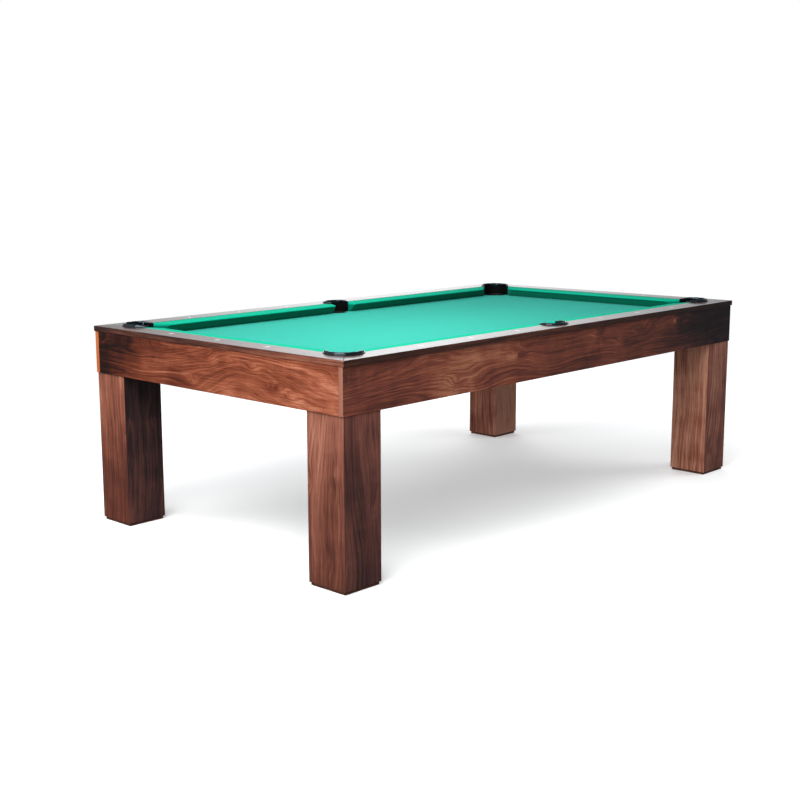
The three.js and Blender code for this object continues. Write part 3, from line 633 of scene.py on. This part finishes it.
def cushion_levels():
    """(distance from the wood, top height, underside height), with the nose as the last."""
    levels = []
    under_slope = (NOSE_HEIGHT - 0.005 - CUSHION_BOTTOM) / (CUSHION_DEEP - 0.005 - CUSHION_FOOT)
    steps = [0, 0.0006, 0.002, 0.008, 0.016, 0.024, 0.032, 0.037, 0.0385, 0.042, 0.050, 0.056,
             0.0595, 0.0618, 0.0632, 0.0641, 0.0647]
    for v in steps:
        crown = 0.0006 * math.sin(math.pi * min(1, v / 0.055))
        top = CUSHION_TOP + (NOSE_TOP - CUSHION_TOP) * v / (CUSHION_DEEP - 0.005) + crown
        tuck = 0.0022 * (1 - smoothstep(0, 0.002, v))
        to_nose = max(0.0, v - (CUSHION_DEEP - 0.006)) / 0.006
        closing = 1 - math.sqrt(max(0, 1 - to_nose ** 2))
        top = top - tuck - (NOSE_TOP - NOSE_HEIGHT + 0.0001) * closing
        low = CUSHION_BOTTOM + max(0.0, v - CUSHION_FOOT) * under_slope
        low = min(low, NOSE_HEIGHT - 0.005)
        low = low + (NOSE_HEIGHT - 0.0002 - low) * closing
        levels.append((v, top, min(low, top - 0.0004)))
    levels.append((CUSHION_DEEP, NOSE_HEIGHT, NOSE_HEIGHT))
    return levels


def cushion_end(pocket, corner):
    """How far from the outer end (or the side pocket's middle) a cushion starts, at each
    distance from the wood. The nose's corner is rounded."""
    slope = math.tan(math.radians(pocket["facing"]))
    liner = pocket["radius"] + LINER_WALL + 0.0006
    if corner:
        nose_end = NOSE + pocket["mouth"] / math.sqrt(2)
        at_wood = CUSHION_WOOD + liner * math.sqrt(2)
        radius = 0.026
    else:
        nose_end = pocket["mouth"] / 2
        at_wood = liner
        radius = 0.012
    turn = math.radians(pocket["facing"])
    tangent = radius * math.tan(turn / 2)

    def start(v):
        facing = nose_end - (CUSHION_DEEP - v) / slope
        wall = at_wood + (v if corner else 0.0)
        inward = CUSHION_DEEP - v
        rounded = facing
        if inward < radius * (1 - math.cos(turn)):
            middle = nose_end + tangent
            rounded = middle - math.sqrt(max(0.0, radius ** 2 - (radius - inward) ** 2))
        return max(rounded, wall)

    return start


def cushion(name, node, near, far, place):
    """near and far give where the two ends are, as distances along the rail for each distance
    from the wood, and place turns (along, distance from the wood, height) into a point."""
    levels = cushion_levels()
    eases = [0.0, 0.0003, 0.0010, 0.0020, END_ROUND, 0.008, 0.020]
    inner = [k / 28 for k in range(1, 28)]
    rings = []

    def ring(position, ease):
        short = max(0.0, END_ROUND - ease)
        drop = END_ROUND - math.sqrt(END_ROUND ** 2 - short ** 2)
        upper, lower = [], []
        for v, top, low in levels:
            half = (top - low) / 2
            cut = min(drop, 0.9 * half)
            upper.append(place(position(v), v, top - cut))
            if v < CUSHION_DEEP:
                lower.append(place(position(v), v, low + cut))
        return upper + list(reversed(lower))

    for ease in eases:
        rings.append(ring(lambda v: near(v) + ease, ease))
    for t in inner:
        rings.append(ring(lambda v: near(v) + 0.02 + t * (far(v) - near(v) - 0.04), 1.0))
    for ease in reversed(eases):
        rings.append(ring(lambda v: far(v) - ease, ease))
    bm = loft(rings)
    bm.verts.ensure_lookup_table()
    count = len(levels)
    size = 2 * count - 1
    for first in (0, (len(rings) - 1) * size):
        for k in range(count - 1):
            a, b = first + k, first + k + 1
            c, d = first + size - 1 - k, first + size - 2 - k
            if k == count - 2:
                bm.faces.new((bm.verts[a], bm.verts[b], bm.verts[c]))
            else:
                bm.faces.new((bm.verts[a], bm.verts[b], bm.verts[d], bm.verts[c]))
    piece = new_piece(name, bm, [M["cushion"]], "table")
    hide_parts(node)
    return piece


corner_start = cushion_end(CORNER, True)
side_start = cushion_end(SIDE, False)

for place, (sign_x, sign_y) in QUARTERS.items():
    cushion(
        f"cushion_{place}_covered", f"cushion_{place}",
        lambda v: END + corner_start(v), lambda v: -side_start(v),
        lambda s, v, z, sx=sign_x, sy=sign_y: (sx * s, sy * (FRONT + CUSHION_WOOD + v), z),
    )
for place, (sign_x, _) in ENDS.items():
    cushion(
        f"cushion_{place}_covered", f"cushion_{place}",
        lambda v: FRONT + corner_start(v), lambda v: -FRONT - corner_start(v),
        lambda s, v, z, sx=sign_x: (sx * (END + CUSHION_WOOD + v), s, z),
    )

# ---- Bed: cloth stretched over slate, rolled down into the pockets -----------------------------

NOTCH_ROOM = 0.0053  # notch radius over the casting's
CLOTH_THICK = 0.001


def notch_outline(pocket, place, reach):
    """The notch's edge from one straight side, round its field end, to the other, with the
    direction into the pocket at each point and how far the cloth rolls down there."""
    radius = pocket["radius"] + NOTCH_ROOM
    points = [((-radius, -reach), (1, 0), 0.0)]
    steps = 36
    for k in range(steps + 1):
        angle = math.pi - math.pi * k / steps
        c, s = math.cos(angle), math.sin(angle)
        points.append(((radius * c, radius * s), (-c, -s), smoothstep(0.02, 0.30, s)))
    points.append(((radius, -reach), (-1, 0), 0.0))
    out = []
    for (x, y), (u, v), roll in points:
        p = place @ Vector((x, y, 0))
        d = (place.to_3x3() @ Vector((u, v, 0))).normalized()
        out.append((p.xy.copy(), d.xy.copy(), roll))
    return out


def bed_outline():
    """The cloth's edge, once round the table."""
    corner_radius = CORNER["radius"] + NOTCH_ROOM
    corner_centre = Vector((END, FRONT)) + Vector((1, 1)) * CORNER_DEPTH / math.sqrt(2)
    reach = corner_centre.x - SLATE_END
    corner_reach = reach * math.sqrt(2) - corner_radius
    side_reach = FRONT + SIDE_DEPTH - SLATE_FRONT
    front = [notch_outline(CORNER, at_corner((1, 1)), corner_reach),
             notch_outline(SIDE, at_side((1, 1)), side_reach),
             notch_outline(CORNER, at_corner((-1, 1)), corner_reach)[::-1]]
    back = [notch_outline(CORNER, at_corner((-1, -1)), corner_reach),
            notch_outline(SIDE, at_side((1, -1)), side_reach)[::-1],
            notch_outline(CORNER, at_corner((1, -1)), corner_reach)[::-1]]
    return front + back


def bed_cloth():
    edge = [point for notch in bed_outline() for point in notch]
    roll_radius = 0.003
    drop = 0.012
    bm = bmesh.new()
    sheets = []
    for layer in (0.0, CLOTH_THICK):
        inner = roll_radius - layer
        levels = []
        for k in range(6):
            angle = math.pi / 2 * k / 5
            levels.append((inner * math.sin(angle), -layer - inner * (1 - math.cos(angle))))
        levels.append((levels[-1][0], -drop))
        sheets.append([[bm.verts.new((p.x + d.x * out * roll, p.y + d.y * out * roll,
                                      CLOTH_TOP - layer + (down + layer) * roll))
                        for p, d, roll in edge] for out, down in levels])
    top, low = sheets
    count = len(edge)
    bm.faces.new(top[0])
    bm.faces.new(list(reversed(low[0])))
    for layer in (top, low):
        for a, b in zip(layer, layer[1:]):
            for i in range(count):
                j = (i + 1) % count
                if edge[i][2] == 0 and edge[j][2] == 0:
                    continue
                face = [a[i], a[j], b[j], b[i]]
                bm.faces.new(face if layer is top else list(reversed(face)))
    for i in range(count):
        j = (i + 1) % count
        if edge[i][2] == 0 and edge[j][2] == 0:
            bm.faces.new((top[0][i], low[0][i], low[0][j], top[0][j]))
        else:
            bm.faces.new((top[-1][i], low[-1][i], low[-1][j], top[-1][j]))
    bmesh.ops.remove_doubles(bm, verts=bm.verts, dist=1e-6)
    bmesh.ops.delete(bm, geom=[v for v in bm.verts if not v.link_faces], context="VERTS")
    area = sum(f.calc_area() for f in bm.faces) / 2
    piece = new_piece("bed_cloth_stretched", bm, [M["bed"]], "table")
    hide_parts("bed_cloth")
    flat_faces(piece)


for node in ("slate_head", "slate_middle", "slate_foot"):
    eased(node, 0.0012, [M["slate"]], segments=2)
bed_cloth()

# ---- Pocket castings ---------------------------------------------------------------------------


def casting_path(pocket):
    """(point, outward direction, distance from the nearer tip) along the casting."""
    radius, arm = pocket["radius"], pocket["arm"]
    tips = [0.0, 0.0002, 0.0008, 0.0018, 0.0032, 0.0050, 0.0072, 0.0100, 0.0140]
    spread = [arm * k / 9 for k in range(1, 10) if arm * k / 9 > 0.017]
    stations = []
    for e in tips + spread:
        if e < arm:
            stations.append(((-radius, arm - e), (-1, 0), e))
    turns = 54
    for k in range(turns + 1):
        angle = math.pi + math.pi * k / turns
        c, s = math.cos(angle), math.sin(angle)
        away = arm + radius * min(k, turns - k) * math.pi / turns
        stations.append(((radius * c, radius * s), (c, s), away))
    for (x, y), (u, v), e in [s for s in reversed(stations) if s[1][0] == -1 and s[0][1] > 0]:
        stations.append(((-x, y), (-u, v), e))
    return stations


def casting_section(pocket, away):
    """(distance out from the liner's inner face, height over the rail top), once round."""
    arm, radius = pocket["arm"], pocket["radius"]
    half = arm + radius * math.pi / 2
    rise = smoothstep(0.0, arm * 1.15, away)
    crown = TIP_HEIGHT + (pocket["crown"] - TIP_HEIGHT) * rise
    scallop = math.cos(2 * math.pi * (away - half) / 0.031) * smoothstep(arm * 0.8, arm * 1.4, away)
    crown *= 1 - 0.075 * (0.5 - 0.5 * scallop)
    lean = 0.0005 * scallop
    round_off = math.sqrt(max(0.0, 1 - (1 - min(1.0, away / 0.009)) ** 2))
    crown = 0.0016 + (crown - 0.0016) * (0.35 + 0.65 * round_off)
    spread = (0.06 + 0.94 * round_off) * (0.80 + 0.20 * smoothstep(0, arm, away))
    w = (0.0052 + (FLANGE - 0.0052) * spread) / FLANGE
    c = crown
    edge = 0.0022 + 0.0004 * rise
    bottom = CLOTH_TOP + GAP - RAIL_TOP
    return [
        (0.0006, bottom), (0.0, bottom + 0.002), (0.0, -0.020), (0.0, -0.004),
        (0.0 - lean, c * 0.25), (0.0002 - lean, c * 0.52), (0.0010 * w - lean, c * 0.74),
        (0.0022 * w - lean, c * 0.89), (0.0038 * w, c * 0.975), (0.0055 * w, c),
        (0.0071 * w, c * 0.955), (0.0085 * w, c * 0.83), (0.0096 * w, c * 0.66),
        (0.0104 * w, c * 0.48), (0.0109 * w, max(c * 0.33, edge * 0.9)), (0.0113 * w, edge * 0.86),
        (0.0118 * w, edge * 0.98), (0.0126 * w, edge), (0.0137 * w, edge * 0.94),
        (0.0143 * w, edge * 0.72), (0.0145 * w, edge * 0.4), (0.0145 * w, GAP),
        (0.0050 * min(1, w * 1.2), GAP), (0.0040, 0.0001), (0.0040, -0.004), (0.0040, -0.020),
        (0.0040, bottom + 0.001), (0.0036, bottom),
    ]


def casting(name, node, pocket, place):
    rings = []
    for (x, y), (u, v), away in casting_path(pocket):
        ring = []
        for out, high in casting_section(pocket, away):
            ring.append(place @ Vector((x + u * out, y + v * out, RAIL_TOP + high)))
        rings.append(ring)
    bm = loft(rings, caps=True)
    for face in bm.faces:
        face.material_index = 1 if all(v.co.z < RAIL_TOP + 0.0002 for v in face.verts) else 0
    piece = new_piece(name, bm, [M["casting"], M["liner"]], "table")
    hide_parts(node)
    flat_faces(piece)
    return piece


for place, signs in QUARTERS.items():
    casting(f"pocket_casting_{place}_moulded", f"pocket_casting_{place}", CORNER, at_corner(signs))
for place, signs in SIDES.items():
    casting(f"pocket_casting_{place}_moulded", f"pocket_casting_{place}", SIDE, at_side(signs))

# ---- Pocket buckets ----------------------------------------------------------------------------


BUCKET_WALL = 0.004


def bucket(name, node, pocket, place):
    inner = pocket["radius"] + 0.001
    outer = inner + BUCKET_WALL
    low = BUCKET_FLOOR
    angles = [math.pi * k / 40 for k in range(41)]
    columns = [(a + math.pi, BUCKET_RIM) for a in angles] + [(a, BUCKET_FIELD_RIM) for a in angles]

    def profile(rim):
        return [
            (0.004, low), (outer - 0.012, low), (outer - 0.004, low + 0.0012), (outer - 0.001, low + 0.004),
            (outer, low + 0.008), (outer, rim - 0.0008), (outer - 0.0008, rim), (inner + 0.0008, rim),
            (inner, rim - 0.0008), (inner, low + 0.018), (inner - 0.0015, low + 0.011),
            (inner - 0.0055, low + 0.0068), (inner - 0.012, low + 0.0052),
            (inner - 0.0135, low + 0.0044), (inner - 0.0155, low + 0.0044), (inner - 0.017, low + 0.0052),
            (inner * 0.5, low + 0.0050), (inner * 0.5 - 0.002, low + 0.0042),
            (inner * 0.5 - 0.004, low + 0.0050), (0.004, low + 0.0050),
        ]

    rings = [[place @ Vector((r * math.cos(a), r * math.sin(a), z)) for r, z in profile(rim)]
             for a, rim in columns]
    bm = loft(rings, closed=True)
    bmesh.ops.remove_doubles(bm, verts=bm.verts, dist=1e-6)
    piece = new_piece(name, bm, [M["bucket"]], "table")
    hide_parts(node)
    flat_faces(piece)
    return piece


for place, signs in QUARTERS.items():
    bucket(f"pocket_bucket_{place}_moulded", f"pocket_bucket_{place}", CORNER, at_corner(signs))
for place, signs in SIDES.items():
    bucket(f"pocket_bucket_{place}_moulded", f"pocket_bucket_{place}", SIDE, at_side(signs))

# ---- Frame under the bed -----------------------------------------------------------------------

for node in ("frame_beam_front", "frame_beam_back", "centre_beam"):
    eased(node, 0.0012, [M["ply_x"]], segments=2)
for node in ("frame_beam_head", "frame_beam_foot", "cross_beam_head", "cross_beam_foot"):
    eased(node, 0.0012, [M["ply_y"]], segments=2)


BOLT_IN = 0.0802  # from the table's outer edge to the rail bolts
SIDE_BOLTS = (-0.98, -0.62, -0.22, 0.22, 0.62, 0.98)
END_BOLTS = (-0.36, -0.12, 0.12, 0.36)


def hex_bolt(name, x, y, z):
    """A rail bolt's head and washer, seen from under the slate."""
    sides = 24

    def ring(radius, height):
        return circle(x, y, z + height, radius, sides)

    def hexagon(radius, height):
        points = []
        for k in range(sides):
            angle = 2 * math.pi * k / sides
            reach = radius * math.cos(math.pi / 6) / math.cos((angle % (math.pi / 3)) - math.pi / 6)
            points.append((x + reach * math.cos(angle), y + reach * math.sin(angle), z + height))
        return points

    rings = [ring(0.0145, -0.0002), ring(0.0150, -0.0006), ring(0.0150, -0.0018),
             ring(0.0146, -0.0022), ring(0.0082, -0.0022), hexagon(0.0075, -0.0023),
             hexagon(0.0075, -0.0068), hexagon(0.0070, -0.0074), ring(0.0052, -0.0076)]
    piece = new_piece(name, loft(rings, caps=True), [M["steel"]], "table")
    flat_faces(piece)


for place, (_, sign_y) in SIDES.items():
    for k, x in enumerate(SIDE_BOLTS):
        hex_bolt(f"rail_bolt_{place}_{k + 1}", x, sign_y * (FRONT + BOLT_IN), SLATE_BOTTOM)
for place, (sign_x, _) in ENDS.items():
    for k, y in enumerate(END_BOLTS):
        hex_bolt(f"rail_bolt_{place}_{k + 1}", sign_x * (END + BOLT_IN), y, SLATE_BOTTOM)

# ---- Legs' fittings and levelling feet ---------------------------------------------------------


SCREW_PITCH = 0.002
SCREW_TURNS = 40
SCREW_CORE, SCREW_CREST, SCREW_TIP = 0.0067, 0.0079, 0.0055  # radii


def level_screw(place):
    """The screw with its thread, and the flange that turns in the foot."""
    low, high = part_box(f"level_screw_{place}")
    x, y = (low.x + high.x) / 2, (low.y + high.y) / 2
    steps = 20
    start = low.z + 0.0058
    flange = [(0.0035, 0.0), (0.0135, 0.0), (0.0140, 0.0005), (0.0140, 0.0042), (0.0135, 0.0047),
              (SCREW_CORE, 0.0048)]
    bm = bmesh.new()
    lower = [[bm.verts.new(p) for p in circle(x, y, low.z + up, radius, steps)] for radius, up in flange]
    shape = [(0.0, SCREW_CORE), (0.25, SCREW_CORE), (0.50, SCREW_CREST), (0.62, SCREW_CREST),
             (0.88, SCREW_CORE)]
    thread = []
    for turn in range(SCREW_TURNS):
        for share, radius in shape:
            row = []
            for k in range(steps + 1):
                z = start + SCREW_PITCH * (turn + share + k / steps)
                angle = 2 * math.pi * k / steps
                row.append(bm.verts.new((x + radius * math.cos(angle), y + radius * math.sin(angle), z)))
            thread.append(row)
    for a, b in zip(thread, thread[1:]):
        for k in range(steps):
            bm.faces.new((a[k], a[k + 1], b[k + 1], b[k]))
    join_rings(bm, lower)
    bm.faces.new(list(reversed(lower[0])))
    tip = [bm.verts.new(p) for p in circle(x, y, high.z, SCREW_TIP, steps)]
    bm.faces.new(tip)
    first, last = thread[0], thread[-1]
    for k in range(steps):
        j = (k + 1) % steps
        bm.faces.new((last[k], last[k + 1], tip[j], tip[k]))
        bm.faces.new((lower[-1][k], lower[-1][j], first[k + 1], first[k]))
    bmesh.ops.remove_doubles(bm, verts=bm.verts, dist=1e-7)
    piece = new_piece(f"level_screw_{place}_threaded", bm, [M["steel"]], f"screw_{place}")
    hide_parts(f"level_screw_{place}")


for place in QUARTERS:
    eased(f"leg_stud_plate_{place}", 0.0006, [M["steel"]], segments=2)
    eased(f"level_plate_{place}", 0.0006, [M["steel"]], segments=2)
    eased(f"foot_{place}", 0.0008, [M["foot"]], body=f"foot_{place}")
    level_screw(place)

# ---- Floor, light and camera -------------------------------------------------------------------


FLOOR_RINGS = (1.0, 2.2, 3.4, 4.7)


def floor():
    """A pale lit floor, which thins out to nothing far from the table."""
    g = Graph("studio_floor")
    radius = g.node("ShaderNodeVectorMath", {0: g.place}, operation="LENGTH").outputs["Value"]
    seen = g.between(radius, 2.3, 4.6, 1.0, 0.0)
    material = g.finish(Base_Color=(0.88, 0.88, 0.88, 1.0), Roughness=0.9, Specular_IOR_Level=0.0,
                        Alpha=seen, Emission_Color=(1.0, 1.0, 1.0, 1.0), Emission_Strength=0.20)
    bm = bmesh.new()
    rings = [[bm.verts.new(p) for p in circle(0, 0, -0.0005, radius, 64)] for radius in FLOOR_RINGS]
    bm.faces.new(rings[0])
    join_rings(bm, rings)
    mesh = bpy.data.meshes.new("studio_floor")
    bm.to_mesh(mesh)
    bm.free()
    made = bpy.data.objects.new("studio_floor", mesh)
    mesh.materials.append(material)
    made.visible_diffuse = False
    made.visible_glossy = False
    bpy.context.scene.collection.objects.link(made)
    return made


# where the room is bright: (direction, how much it adds there, how narrow it is)
ROOM_LIGHT = [
    ((-1.0, 0.05, 0.10), 1.5, 2.0),
    ((0.73, 0.68, 0.12), 1.55, 52.0),
    ((0.0, 0.0, 1.0), 0.30, 2.0),
]
ROOM_BASE = 0.28
ROOM_BELOW = 0.20
ROOM_TINT = (0.95, 0.98, 1.0)


def studio_world():
    """White to the eye. As a light it is a soft room, brighter overhead, to the left and behind."""
    world = bpy.data.worlds.new("studio")
    bpy.context.scene.world = world
    world.use_nodes = True
    tree = world.node_tree

    def node(kind, *inputs, **settings):
        made = tree.nodes.new(kind)
        for key, value in settings.items():
            setattr(made, key, value)
        for socket, value in zip(made.inputs, inputs):
            if isinstance(value, bpy.types.NodeSocket):
                tree.links.new(value, socket)
            else:
                socket.default_value = value
        return made

    way = node("ShaderNodeTexCoord").outputs["Generated"]
    level = ROOM_BASE
    for direction, amount, narrow in ROOM_LIGHT:
        toward = node("ShaderNodeVectorMath", way, Vector(direction).normalized(),
                      operation="DOT_PRODUCT").outputs["Value"]
        lobe = node("ShaderNodeMath", toward, 0.0, operation="MAXIMUM").outputs[0]
        lobe = node("ShaderNodeMath", lobe, narrow, operation="POWER").outputs[0]
        lobe = node("ShaderNodeMath", lobe, amount, operation="MULTIPLY").outputs[0]
        level = node("ShaderNodeMath", lobe, level, operation="ADD").outputs[0]
    height = node("ShaderNodeSeparateXYZ", way).outputs[2]
    above = node("ShaderNodeMapRange", height, -0.12, 0.02, 0.0, 1.0).outputs[0]
    spread = node("ShaderNodeMath", level, -ROOM_BELOW, operation="ADD").outputs[0]
    spread = node("ShaderNodeMath", spread, above, operation="MULTIPLY").outputs[0]
    level = node("ShaderNodeMath", spread, ROOM_BELOW, operation="ADD").outputs[0]
    seen = node("ShaderNodeLightPath").outputs["Is Camera Ray"]
    bright = node("ShaderNodeMath", 1.0, level, operation="SUBTRACT").outputs[0]
    bright = node("ShaderNodeMath", bright, seen, operation="MULTIPLY").outputs[0]
    strength = node("ShaderNodeMath", bright, level, operation="ADD").outputs[0]
    tint = node("ShaderNodeMix", seen, data_type="RGBA")
    tint.inputs[6].default_value = (*ROOM_TINT, 1.0)
    tint.inputs[7].default_value = (1.0, 1.0, 1.0, 1.0)
    tree.links.new(tint.outputs[2], tree.nodes["Background"].inputs["Color"])
    tree.links.new(strength, tree.nodes["Background"].inputs["Strength"])


def softbox(name, location, target, size_x, size_y, power, only=()):
    """A lamp behind a rectangle of cloth. only lists the objects that it lights, if not all."""
    light = bpy.data.lights.new(name, "AREA")
    light.shape = "RECTANGLE"
    light.size, light.size_y = size_x, size_y
    light.energy = power
    made = bpy.data.objects.new(name, light)
    made.location = location
    made.rotation_euler = (Vector(target) - Vector(location)).to_track_quat("-Z", "Y").to_euler()
    made.visible_camera = False
    bpy.context.scene.collection.objects.link(made)
    if only:
        lit = bpy.data.collections.new(f"{name}_lights")
        for piece in only:
            lit.objects.link(piece)
        made.light_linking.receiver_collection = lit


def camera():
    """At the photograph's viewing angle. The figures are a camera fitted to the table's edges."""
    data = bpy.data.cameras.new("camera")
    data.sensor_width = 36.0
    data.lens = 36.0 * 1269.18 / 800
    data.shift_x = 0.05
    data.shift_y = -0.0125
    data.clip_end = 100.0
    yaw, pitch, roll = 0.77978, -0.17183, -0.00733
    ahead = Vector((math.cos(pitch) * math.cos(yaw), math.cos(pitch) * math.sin(yaw), math.sin(pitch)))
    right = Vector((math.sin(yaw), -math.cos(yaw), 0))
    up = right.cross(ahead)
    turned_right = math.cos(roll) * right + math.sin(roll) * up
    turned_up = -math.sin(roll) * right + math.cos(roll) * up
    made = bpy.data.objects.new("camera", data)
    axes = Matrix((turned_right, turned_up, -ahead)).transposed().to_4x4()
    made.matrix_world = Matrix.Translation((-4.16207, -3.64562, 1.42448)) @ axes
    bpy.context.scene.collection.objects.link(made)
    bpy.context.scene.camera = made


studio_floor = floor()
studio_world()
CLOTHS = [piece for piece in bpy.context.scene.objects if piece.name.endswith(("_covered", "_stretched"))]
softbox("softbox_key", (-2.4, -0.8, 2.9), (-0.6, 0, 0.7), 2.2, 2.2, 115)
softbox("softbox_back", (2.2, 2.4, 2.4), (0.2, 0.2, 0.8), 1.5, 0.8, 10)
softbox("softbox_bed", (0.0, 0.1, 1.75), (0.0, 0.05, 0.77), 1.0, 0.8, 6.5, only=CLOTHS)
softbox("softbox_near", (-0.55, -0.35, 1.75), (-0.55, -0.3, 0.77), 1.0, 0.9, 8, only=CLOTHS)
for corner_x in (-1, 1):
    for corner_y in (-1, 1):
        softbox(f"floor_light_{corner_x}_{corner_y}", (4.4 * corner_x, 3.4 * corner_y, 1.5),
                (0, 0, 0), 3.0, 2.0, 110, only=[studio_floor])
camera()
bpy.context.scene.view_settings.view_transform = "Standard"
